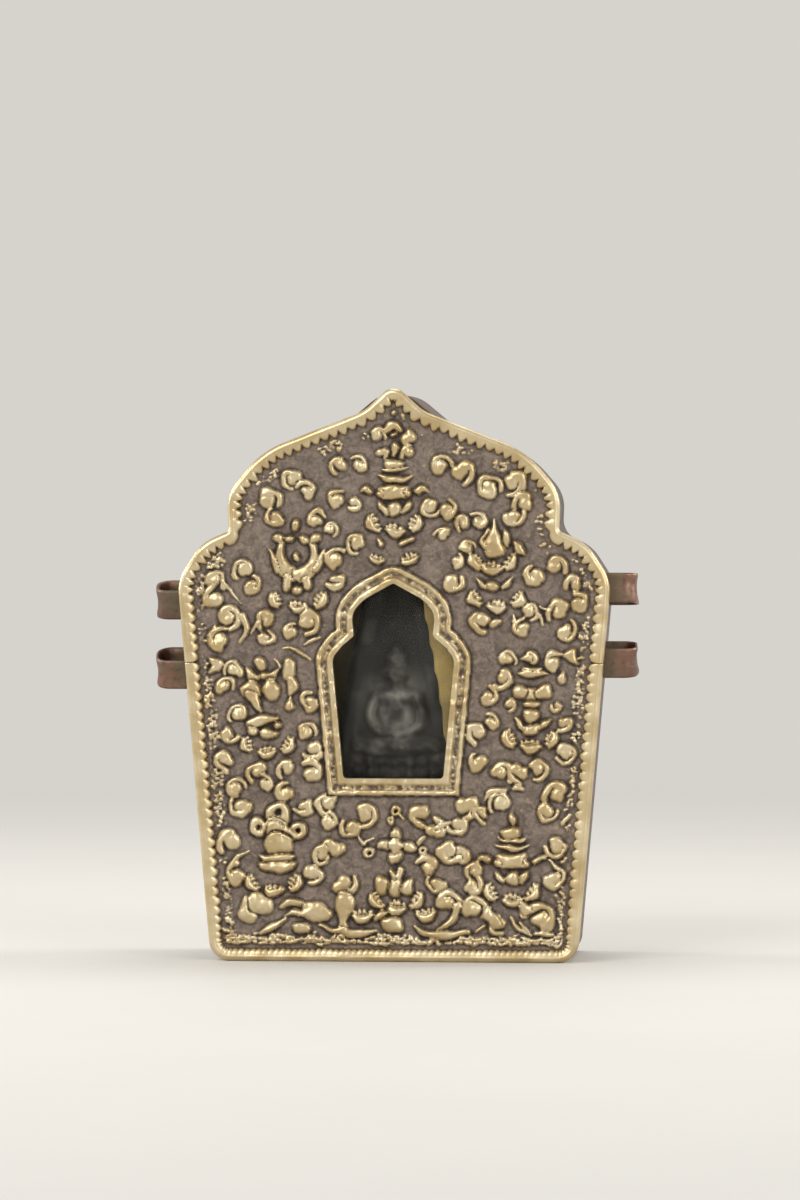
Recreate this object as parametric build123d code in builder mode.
from build123d import *

import os
from math import acos, atan2, cos, degrees, hypot, radians, sin, tan

# Ghau: a portable amulet box. A brass face, worked from behind, is soldered to a copper band with four
# strap loops. A clay tablet stands behind the window, and a copper back with an inner flange closes the box.
# Millimetres, +Z up. The origin is the middle of the base. The face looks along -Y, so distances called
# "forward" grow towards -Y, and sketches of the face are drawn in X and Z.

# Box
face_height = 120.0
face_width = 91.0
box_depth = 34.0

# Face outline, from its tip down: heights are drops below the tip
tip_radius = 3.0
tip_reach = 6.2
tip_drop = 4.7
tip_flare_radius = 10.0
crown_run = 7.5
crown_drop = 13.0
crown_radius = 20.0
lobe_drop = 21.7
lobe_radius = 9.0
notch_drop = 29.8
notch_inset = 0.35
notch_radius = 0.9
shoulder_step = 10.5
shoulder_run = 5.0
shoulder_drop = 32.3
shoulder_radius = 10.0
side_drop = 40.0
side_radius = 9.0
side_taper = 7.0
base_radius = 4.5

# Face sheet and its border wire
plate_thickness = 1.0
rim_height = 1.7
rim_width = 2.0
rim_joint_height = 62.5
rim_joint_gap = 0.12
rim_facets = 4
gadroon_width = 1.5
gadroon_height = 1.0
gadroon_root = 0.3
gadroon_pitch = 2.25

# Window: an arched opening with two ridges around it
window_sill = 38.4
window_height = 40.8
window_width = 25.7
window_tip_radius = 0.8
window_crown_run = 2.6
window_crown_drop = 3.3
window_crown_radius = 8.0
window_lobe_drop = 6.2
window_lobe_radius = 4.0
window_notch_drop = 11.0
window_notch_inset = 0.5
window_notch_radius = 0.9
window_step = 4.05
window_shoulder_run = 2.1
window_shoulder_drop = 13.0
window_shoulder_radius = 4.0
window_side_drop = 15.6
window_side_radius = 3.0
window_taper = 2.35
window_base_radius = 0.9
inner_ridge = 1.4
ridge_groove = 0.9
outer_ridge = 1.3
ridge_height = 1.1
ridge_draft = 18.0

# Relief of the face: eight emblems, each above lotus leaves, and garlands of scrolls between them.
# Emblems are placed by the middle of their main form
emblem_width = 8.0
emblem_relief = 1.3
relief_draft = 22.0
leaf_width = 4.4
leaf_height = 2.4
lotus_spread = 4.6
lotus_rise = 1.6
lotus_lean = 55.0
emblem_room = 7.0
emblem_headroom = 8.0
emblem_footroom = 9.0
top_emblem_drop = 21.6
upper_emblem_drop = 34.6
upper_emblem_inset = 14.3
middle_emblem_rise = 18.6
middle_emblem_inset = 17.0
lower_emblem_height = 23.2
lower_emblem_inset = 14.0
bottom_emblem_height = 23.2
scroll_radius = 1.55
scroll_tail = 2.7
scroll_relief = 1.1
scroll_pitch = 6.6
border_garland = 7.6
middle_garland = 14.2
window_garland = 6.6

# Copper band and back cover
band_setback = 1.0
band_thickness = 0.9
dome_radius = 7.2
dome_reach = 10.2
band_notch_radius = 4.5
back_thickness = 0.8
back_seat = 0.02
flange_thickness = 0.8
flange_depth = 10.0
flange_clearance = 0.25

# Strap loops: bent copper strip with a raised lip along both edges
loop_overhang = 5.2
loop_depth = 9.0
loop_setback = 9.5
loop_strip = 0.8
loop_width = 6.2
loop_corner = 2.2
loop_lip = 0.35
loop_lip_width = 0.9

# Each loop was bent and soldered by hand: its height and how far its top leans forward, in degrees
upper_left_height = 75.6
upper_right_height = 78.0
lower_left_height = 61.2
lower_right_height = 63.2
upper_left_lean = 14.0
upper_right_lean = -5.0
lower_left_lean = 18.0
lower_right_lean = 9.0

# Glass and the bent tabs that hold it behind the face
glass_lap = 2.0
glass_thickness = 1.5
glass_clip_corner = 7.0
glass_play = 0.15
tab_thickness = 0.4
tab_width = 3.0
tab_foot = 2.4
tab_hook = 1.8
tab_spread = 24.0

# Clay tablet and the folded silk behind it
tablet_setback = 6.0
tablet_thickness = 12.0
tablet_width = 37.0
tablet_waist = 23.8
tablet_waist_height = 51.0
tablet_height = 91.0
tablet_tip_radius = 5.0
tablet_waist_radius = 120.0
tablet_base_radius = 3.0
tablet_round = 2.0
tablet_border = 2.2
tablet_border_height = 0.9
silk_width = 46.0
silk_height = 88.0
silk_corner = 9.0
silk_round = 4.0
silk_play = 0.3

# Seated figure in relief on the tablet
seat_height = 40.0
seat_width = 19.0
seat_thickness = 4.6
seat_relief = 1.8
knee_width = 17.0
knee_height = 5.0
knee_relief = 2.8
torso_width = 8.5
torso_foot = 6.0
torso_height = 13.0
torso_relief = 2.3
figure_lap = 0.6
figure_draft = 25.0
head_width = 5.6
head_height = 6.6
head_relief = 2.6
knot_diameter = 3.0
knot_relief = 2.2
halo_diameter = 15.5
halo_width = 1.1
halo_relief = 0.8

least_radius = 0.6
corner_share = 0.48

# Depths, as distances forward of the box's middle
front = box_depth / 2
ground = front - rim_height
plate_back = ground - plate_thickness
back_face = -box_depth / 2
band_back = back_face + back_thickness + back_seat
floor_height = band_thickness


def facing(forward):
    """Plane in X and Z that looks towards the face, this far forward."""
    return Plane.XZ.offset(forward)


def rounded_tip(top, radius, knee):
    """Corner on the axis whose rounding tops out at this height, with straight flanks down to the knee."""
    centre = top - radius
    tangent = atan2(knee[1] - centre, knee[0]) + acos(radius / hypot(knee[0], knee[1] - centre))
    return (0, centre + radius / sin(tangent), radius)


def moved(outline, out, base_out=None):
    """Half outline with every edge moved outwards by this much, and its corner radii to match."""
    base_out = out if base_out is None else base_out
    tip_side = (-outline[1][0], outline[1][1])
    base_side = (-outline[-1][0], outline[-1][1])
    ring = [tip_side] + [(x, z) for x, z, _ in outline] + [base_side]
    result = []
    for before, (x, z, radius), after in zip(ring, outline, ring[2:]):
        arriving = Vector(x - before[0], z - before[1]).normalized()
        leaving = Vector(after[0] - x, after[1] - z).normalized()
        out_leaving = base_out if after == base_side else out
        turn = arriving.X * leaving.Y - arriving.Y * leaving.X
        shift_x = (out * leaving.X - out_leaving * arriving.X) / turn
        shift_z = (out * leaving.Y - out_leaving * arriving.Y) / turn
        grown = radius + out if turn < 0 else radius - out
        result.append((x + shift_x, z + shift_z, max(grown, least_radius)))
    return result


def niche_line(outline):
    """Closed line through a half outline and its mirror image, corners rounded as far as their sides allow."""
    corners = outline + [(-x, z, radius) for x, z, radius in reversed(outline[1:])]
    radii = []
    for before, (x, z, radius), after in zip(corners[-1:] + corners, corners, corners[1:] + corners[:1]):
        arriving = Vector(x - before[0], z - before[1])
        leaving = Vector(after[0] - x, after[1] - z)
        half_turn = radians(arriving.get_angle(leaving)) / 2
        shorter = min(arriving.length, leaving.length)
        radii.append(min(radius, corner_share * shorter / tan(half_turn)))
    FilletPolyline(*[(x, z) for x, z, _ in corners], radius=radii, close=True)


# Outlines, as half lists of corners from the tip to the base: x, z, corner radius
shoulder_half = face_width / 2
lobe_half = shoulder_half - shoulder_step
base_half = shoulder_half - side_taper
face_knee = (tip_reach, face_height - tip_drop, tip_flare_radius)
face = [
    rounded_tip(face_height, tip_radius, face_knee),
    face_knee,
    (lobe_half - crown_run, face_height - crown_drop, crown_radius),
    (lobe_half, face_height - lobe_drop, lobe_radius),
    (lobe_half - notch_inset, face_height - notch_drop, notch_radius),
    (shoulder_half - shoulder_run, face_height - shoulder_drop, shoulder_radius),
    (shoulder_half, face_height - side_drop, side_radius),
    (base_half, 0, base_radius),
]

window_top = window_sill + window_height
window_half = window_width / 2
window_lobe = window_half - window_step
window_crown = (window_lobe - window_crown_run, window_top - window_crown_drop, window_crown_radius)
window = [
    rounded_tip(window_top, window_tip_radius, window_crown),
    window_crown,
    (window_lobe, window_top - window_lobe_drop, window_lobe_radius),
    (window_lobe - window_notch_inset, window_top - window_notch_drop, window_notch_radius),
    (window_half - window_shoulder_run, window_top - window_shoulder_drop, window_shoulder_radius),
    (window_half, window_top - window_side_drop, window_side_radius),
    (window_half - window_taper, window_sill, window_base_radius),
]

# The band keeps inside the face and level with its base, but is bent more softly at the tip and the notches
band = moved(face, -band_setback, base_out=0)
knee_x, knee_z, _ = band[1]
crown_x, crown_z, _ = band[2]
dome_share = (dome_reach - knee_x) / (crown_x - knee_x)
band[1] = (dome_reach, knee_z + dome_share * (crown_z - knee_z), tip_flare_radius)
band[0] = rounded_tip(face_height - band_setback, dome_radius, band[1])
band[4] = band[4][:2] + (band_notch_radius,)
band_inner = moved(band, -band_thickness)

os.makedirs("parts", exist_ok=True)


def save(builder, name):
    """Label a finished piece and write it out under its own name."""
    builder.part.label = name
    export_step(builder.part, f"parts/{name}.step")


def draw(corners, x, z, turn=0):
    """Outline in the current sketch with its own origin at this place, turned about it."""
    with Locations((x, z)):
        Polygon(*corners, rotation=turn, align=None)


def tier(top, foot, height):
    """Corners of a bar that stands on the origin and widens or narrows upwards."""
    return [(-foot / 2, 0), (foot / 2, 0), (top / 2, height), (-top / 2, height)]


def bud(width, height):
    """Corners of a bud that stands on the origin, round at its foot and drawn up to a point."""
    waist = height / 3
    return [(-width / 4, 0), (width / 4, 0), (width / 2, waist), (0, height), (-width / 2, waist)]


def ball(width, height):
    """Corners of an eight-sided boss round the origin."""
    return [(width / 2 * cos(radians(a)), height / 2 * sin(radians(a))) for a in range(22, 382, 45)]


def lotus(x, z):
    """Three lotus leaves that open upwards under an emblem."""
    rim, belly = leaf_width / 2, leaf_width / 4
    leaf = [(-belly, -leaf_height / 2), (belly, -leaf_height / 2), (rim, leaf_height / 4)]
    leaf += [(belly, leaf_height / 2), (-belly, leaf_height / 2), (-rim, leaf_height / 4)]
    draw(leaf, x, z)
    draw(leaf, x - lotus_spread, z + lotus_rise, -lotus_lean)
    draw(leaf, x + lotus_spread, z + lotus_rise, lotus_lean)


def canopy(x, z):
    """Parasol, or banner: a jar under tiers that narrow to a bud."""
    width = emblem_width
    draw(tier(width, width * 0.75, width * 0.38), x, z - width * 0.19)
    draw(tier(width * 0.95, width * 0.55, width * 0.14), x, z + width * 0.28)
    draw(tier(width * 0.7, width * 0.4, width * 0.14), x, z + width * 0.5)
    draw(bud(width * 0.42, width * 0.46), x, z + width * 0.73)
    draw(tier(width * 0.75, width * 0.35, width * 0.3), x, z - width * 0.58)
    lotus(x, z - width)


def fishes(x, z):
    """Two fish that meet in a U round a jewel."""
    width = emblem_width
    back = [(0.06, -0.6), (0.4, -0.42), (0.62, 0.02), (0.58, 0.58)]
    belly = [(0.26, 0.58), (0.34, 0.06), (0.22, -0.18), (0.06, -0.3)]
    for side in (-1, 1):
        draw([(side * across * width, up * width) for across, up in back + belly], x, z)
    draw(bud(width * 0.22, width * 0.3), x, z - width * 0.08)
    draw(tier(width * 0.6, width * 0.3, width * 0.26), x, z - width)
    lotus(x, z - width * 1.3)


def jewel(x, z):
    """Pointed jewel over two rows of lotus."""
    width = emblem_width
    draw(bud(width * 0.55, width * 0.95), x, z - width * 0.42)
    lotus(x, z - width * 0.72)
    draw(tier(width * 0.5, width * 0.3, width * 0.26), x, z - width * 1.3)
    lotus(x, z - width * 1.66)


def flower(x, z):
    """Lotus flower with three petals, over its stand."""
    width = emblem_width
    draw(bud(width * 0.42, width * 0.62), x, z)
    for side in (-1, 1):
        draw(bud(width * 0.4, width * 0.62), x + side * width * 0.2, z - width * 0.4, -side * 62)
    draw(tier(width * 0.2, width * 0.1, width * 0.32), x, z - width * 0.78)
    draw(tier(width * 0.62, width * 0.4, width * 0.3), x, z - width * 1.2)
    lotus(x, z - width * 1.6)


def jar(x, z):
    """Treasure jar: knob, lid, belly and foot."""
    width = emblem_width
    draw(ball(width * 0.34, width * 0.34), x, z + width * 0.86)
    draw(tier(width * 0.5, width * 0.75, width * 0.26), x, z + width * 0.36)
    draw(ball(width, width * 0.46), x, z)
    draw(tier(width * 0.5, width * 0.3, width * 0.26), x, z - width * 0.6)
    draw(tier(width * 0.75, width * 0.35, width * 0.3), x, z - width)
    lotus(x, z - width * 1.4)


def knot(x, z):
    """Knot with three loops over a round body and its stand."""
    width = emblem_width
    draw(ball(width * 0.56, width * 0.56), x, z + width * 0.78)
    for side in (-1, 1):
        draw(ball(width * 0.5, width * 0.46), x + side * width * 0.54, z + width * 0.38)
    draw(ball(width * 0.72, width * 0.68), x, z + width * 0.06)
    draw(tier(width, width * 0.55, width * 0.36), x, z - width * 0.72)
    lotus(x, z - width * 1.12)


def wheel(x, z):
    """Four-lobed wheel over a lotus throne."""
    width = emblem_width
    for quarter in range(0, 360, 90):
        draw(bud(width * 0.3, -width * 0.46), x, z, quarter)
    draw(tier(width * 0.8, width * 0.5, width * 0.4), x, z - width)
    lotus(x, z - width * 1.5)


# Brass face: a sheet with the window cut through it and two ridges raised round the window
with BuildPart() as face_plate:
    with BuildSketch(facing(plate_back)):
        with BuildLine():
            niche_line(face)
        make_face()
        with BuildLine():
            niche_line(window)
        make_face(mode=Mode.SUBTRACT)
    extrude(amount=plate_thickness)
    groove_start = inner_ridge
    groove_end = inner_ridge + ridge_groove
    for near, far in ((0, groove_start), (groove_end, groove_end + outer_ridge)):
        with BuildSketch(facing(ground)):
            with BuildLine():
                niche_line(moved(window, far))
            make_face()
            with BuildLine():
                niche_line(moved(window, near))
            make_face(mode=Mode.SUBTRACT)
        extrude(amount=ridge_height, taper=ridge_draft)

    # Emblems, pushed out of the sheet from behind
    emblems = {
        canopy: (0, face_height - top_emblem_drop),
        fishes: (upper_emblem_inset - lobe_half, face_height - upper_emblem_drop),
        jewel: (lobe_half - upper_emblem_inset, face_height - upper_emblem_drop),
        flower: (middle_emblem_inset - shoulder_half, window_sill + middle_emblem_rise),
        jar: (shoulder_half - middle_emblem_inset, window_sill + middle_emblem_rise),
        knot: (lower_emblem_inset - base_half, lower_emblem_height),
        wheel: (0, bottom_emblem_height),
    }
    banner = (base_half - lower_emblem_inset, lower_emblem_height)
    with BuildSketch(facing(ground)):
        for emblem, (x, z) in emblems.items():
            emblem(x, z)
        canopy(*banner)
    extrude(amount=emblem_relief, taper=relief_draft)

    # Scrolls: drops that follow three garlands, tails along the line, wherever no emblem stands
    with BuildLine(facing(ground), mode=Mode.PRIVATE) as border_line:
        niche_line(moved(face, -border_garland))
    with BuildLine(facing(ground), mode=Mode.PRIVATE) as middle_line:
        niche_line(moved(face, -middle_garland))
    with BuildLine(facing(ground), mode=Mode.PRIVATE) as window_line:
        niche_line(moved(window, window_garland))
    scroll = [(scroll_tail, 0)]
    scroll += [(scroll_radius * cos(radians(a)), scroll_radius * sin(radians(a))) for a in range(72, 360, 72)]
    with BuildSketch(facing(ground)):
        for line in (border_line, middle_line, window_line):
            garland = line.wires()[0]
            count = round(garland.length / scroll_pitch)
            for place in range(count):
                centre = garland.position_at(place / count)
                run = garland.tangent_at(place / count)
                clear = all(
                    abs(centre.X - x) > emblem_room
                    or not z - emblem_footroom < centre.Z < z + emblem_headroom
                    for x, z in [*emblems.values(), banner]
                )
                if clear:
                    draw(scroll, centre.X, centre.Z, degrees(atan2(run.Z, run.X)))
    extrude(amount=scroll_relief, taper=relief_draft)
save(face_plate, "face_plate")

# Border: brass wire with a back hammered round and a toothed strip along its inner edge, in two lengths
with BuildLine(facing(ground)) as rim_path:
    niche_line(moved(face, -rim_width / 2))
with BuildLine(facing(ground)) as root_path:
    niche_line(moved(face, -rim_width - gadroon_root))
with BuildLine(facing(ground)) as point_path:
    niche_line(moved(face, -rim_width - gadroon_width))
rim_wire = rim_path.wires()[0]
root_wire = root_path.wires()[0]
point_wire = point_path.wires()[0]
gadroon_count = round(point_wire.length / gadroon_pitch)
gadroon_line = []
for tooth in range(gadroon_count):
    gadroon_line.append(root_wire.position_at(tooth / gadroon_count))
    gadroon_line.append(point_wire.position_at((tooth + 0.5) / gadroon_count))
rim_run = rim_wire.tangent_at(0)
rim_section = Plane(rim_wire.position_at(0), x_dir=rim_run.cross(Vector(0, 1, 0)), z_dir=rim_run)
rim_half = rim_width / 2
rim_spring = rim_height - rim_half
with BuildPart() as rim:
    flats = [radians(180 * flat / rim_facets) for flat in range(rim_facets + 1)]
    back = [(rim_half * cos(a), rim_spring + rim_half * sin(a)) for a in flats]
    with BuildSketch(rim_section):
        Polygon((-rim_half, 0), (rim_half, 0), *back, align=None)
    sweep(path=rim_wire)
    with BuildSketch(facing(ground)):
        with BuildLine():
            niche_line(moved(face, -rim_half))
        make_face()
        with BuildLine():
            Polyline(*[(point.X, point.Z) for point in gadroon_line], close=True)
        make_face(mode=Mode.SUBTRACT)
    extrude(amount=gadroon_height)

with BuildPart() as rim_upper:
    add(rim.part)
    split(bisect_by=Plane.XY.offset(rim_joint_height + rim_joint_gap / 2), keep=Keep.TOP)
save(rim_upper, "rim_upper")

with BuildPart() as rim_lower:
    add(rim.part)
    split(bisect_by=Plane.XY.offset(rim_joint_height - rim_joint_gap / 2), keep=Keep.BOTTOM)
save(rim_lower, "rim_lower")

# Copper band: the side wall of the box, soldered behind the face
with BuildPart() as side_band:
    with BuildSketch(facing(plate_back)):
        with BuildLine():
            niche_line(band)
        make_face()
        with BuildLine():
            niche_line(band_inner)
        make_face(mode=Mode.SUBTRACT)
    extrude(amount=band_back - plate_back)
save(side_band, "side_band")

# Strap loops: strips bent to a U and soldered to the band by their ends
loop_end = shoulder_half + loop_overhang
loop_length = loop_overhang + shoulder_step + side_taper
loop_places = {
    "strap_loop_upper_left": (-1, upper_left_height, upper_left_lean),
    "strap_loop_upper_right": (1, upper_right_height, upper_right_lean),
    "strap_loop_lower_left": (-1, lower_left_height, lower_left_lean),
    "strap_loop_lower_right": (1, lower_right_height, lower_right_lean),
}
for name, (side, height, lean) in loop_places.items():
    middle = (side * loop_end, loop_setback - front, height)
    across = Plane(middle, x_dir=(side, 0, 0), z_dir=(0, -sin(radians(lean)), cos(radians(lean))))
    with BuildPart() as strap_loop:
        with BuildSketch(across):
            loop_align = (Align.MAX, Align.CENTER)
            RectangleRounded(loop_length, loop_depth, loop_corner, align=loop_align)
            offset(amount=-loop_strip, mode=Mode.SUBTRACT)
        extrude(amount=loop_width / 2, both=True)
        lip_planes = (across.offset(loop_width / 2 - loop_lip_width), across.offset(-loop_width / 2))
        for lip_plane in lip_planes:
            with BuildSketch(lip_plane):
                RectangleRounded(loop_length, loop_depth, loop_corner, align=loop_align)
                offset(amount=loop_lip)
                RectangleRounded(loop_length, loop_depth, loop_corner, align=loop_align, mode=Mode.SUBTRACT)
            extrude(amount=loop_lip_width)
        with BuildSketch(facing(front)):
            with BuildLine():
                niche_line(band)
            make_face()
        extrude(amount=-box_depth, mode=Mode.SUBTRACT)
    save(strap_loop, name)

# Window glass: a flat pane with its upper corners cut off, laid against the back of the face
glass_half = window_half + glass_lap
glass_top = window_top + glass_lap
glass_bottom = window_sill - glass_lap
with BuildPart() as window_glass:
    with BuildSketch(facing(plate_back)):
        with BuildLine():
            Polyline(
                (-glass_half, glass_bottom),
                (glass_half, glass_bottom),
                (glass_half, glass_top - glass_clip_corner),
                (glass_half - glass_clip_corner, glass_top),
                (glass_clip_corner - glass_half, glass_top),
                (-glass_half, glass_top - glass_clip_corner),
                close=True,
            )
        make_face()
    extrude(amount=-glass_thickness)
save(window_glass, "window_glass")

# Glass tabs: six bent strips, each with a foot soldered to the face and a hook over the edge of the glass
glass_middle = window_sill + window_height / 2 - tab_spread / 4
tab_edges = [((0, glass_top), (0, 0, 1)), ((0, glass_bottom), (0, 0, -1))]
for side in (-1, 1):
    for height in (glass_middle - tab_spread / 2, glass_middle + tab_spread / 2):
        tab_edges.append(((side * glass_half, height), (side, 0, 0)))
hook_start = glass_thickness + glass_play
hook_end = hook_start + tab_thickness
with BuildPart() as glass_tabs:
    for (x, z), outwards in tab_edges:
        edge = Plane((x, -plate_back, z), x_dir=outwards, z_dir=Vector(outwards).cross(Vector(0, 1, 0)))
        with BuildSketch(edge):
            with BuildLine():
                Polyline(
                    (glass_play, 0),
                    (glass_play + tab_foot, 0),
                    (glass_play + tab_foot, tab_thickness),
                    (glass_play + tab_thickness, tab_thickness),
                    (glass_play + tab_thickness, hook_end),
                    (-tab_hook, hook_end),
                    (-tab_hook, hook_start),
                    (glass_play, hook_start),
                    close=True,
                )
            make_face()
        extrude(amount=tab_width / 2, both=True)
save(glass_tabs, "glass_tabs")

# Clay tablet: pressed in a mould, with a raised border round a seated figure and its halo
tablet_side = (tablet_waist / 2, floor_height + tablet_waist_height, tablet_waist_radius)
tablet = [
    rounded_tip(floor_height + tablet_height, tablet_tip_radius, tablet_side),
    tablet_side,
    (tablet_width / 2, floor_height, tablet_base_radius),
]
tablet_front = plate_back - tablet_setback
tablet_back = tablet_front - tablet_thickness
field = tablet_front - tablet_border_height
seat_level = floor_height + seat_height
knee_level = seat_level + (seat_thickness + knee_height) / 2 - figure_lap
shoulder_level = knee_level + torso_height
head_level = shoulder_level + head_height / 2
with BuildPart() as votive_tablet:
    with BuildSketch(facing(tablet_back)):
        with BuildLine():
            niche_line(tablet)
        make_face()
    extrude(amount=tablet_thickness)
    chamfer(votive_tablet.faces().sort_by(Axis.Y)[0].edges(), length=tablet_round)
    with BuildSketch(facing(tablet_front)):
        with BuildLine():
            niche_line(moved(tablet, -tablet_round - tablet_border))
        make_face()
    extrude(amount=-tablet_border_height, mode=Mode.SUBTRACT)
    with BuildSketch(facing(field)):
        with Locations((0, head_level)):
            Circle(halo_diameter / 2)
            Circle(halo_diameter / 2 - halo_width, mode=Mode.SUBTRACT)
    extrude(amount=halo_relief)
    with BuildSketch(facing(field)):
        draw(ball(seat_width, seat_thickness), 0, seat_level)
    extrude(amount=seat_relief, taper=figure_draft)
    with BuildSketch(facing(field)):
        with BuildLine():
            Polyline(
                (-torso_foot / 2, knee_level),
                (torso_foot / 2, knee_level),
                (torso_width / 2, shoulder_level),
                (-torso_width / 2, shoulder_level),
                close=True,
            )
        make_face()
    extrude(amount=torso_relief, taper=figure_draft)
    with BuildSketch(facing(field)):
        draw(ball(knee_width, knee_height), 0, knee_level)
    extrude(amount=knee_relief, taper=figure_draft)
    with BuildSketch(facing(field)):
        draw(ball(head_width, head_height), 0, head_level)
    extrude(amount=head_relief, taper=figure_draft)
    with BuildSketch(facing(field)):
        draw(ball(knot_diameter, knot_diameter), 0, head_level + head_height / 2)
    extrude(amount=knot_relief, taper=figure_draft)
save(votive_tablet, "votive_tablet")

# Folded silk that keeps the tablet up against the window
silk_front = tablet_back - silk_play
silk_back = back_face + back_thickness + silk_play
silk_foot = floor_height + flange_clearance + flange_thickness + silk_play
with BuildPart() as silk_pad:
    with BuildSketch(facing(silk_back)) as silk_outline:
        with Locations((0, silk_foot)):
            Rectangle(silk_width, silk_height, align=(Align.CENTER, Align.MIN))
        chamfer(silk_outline.vertices(), length=silk_corner)
    extrude(amount=silk_front - silk_back)
    chamfer(silk_pad.faces().filter_by(Axis.Y).edges(), length=silk_round)
save(silk_pad, "silk_pad")

# Back: a copper sheet with a flange inside it that slides into the band from behind
flange_outer = moved(band_inner, -flange_clearance)
flange_inner = moved(flange_outer, -flange_thickness)
with BuildPart() as back_plate:
    with BuildSketch(facing(back_face)):
        with BuildLine():
            niche_line(band)
        make_face()
    extrude(amount=back_thickness)
save(back_plate, "back_plate")

with BuildPart() as back_flange:
    with BuildSketch(facing(back_face + back_thickness)):
        with BuildLine():
            niche_line(flange_outer)
        make_face()
        with BuildLine():
            niche_line(flange_inner)
        make_face(mode=Mode.SUBTRACT)
    extrude(amount=flange_depth)
save(back_flange, "back_flange")
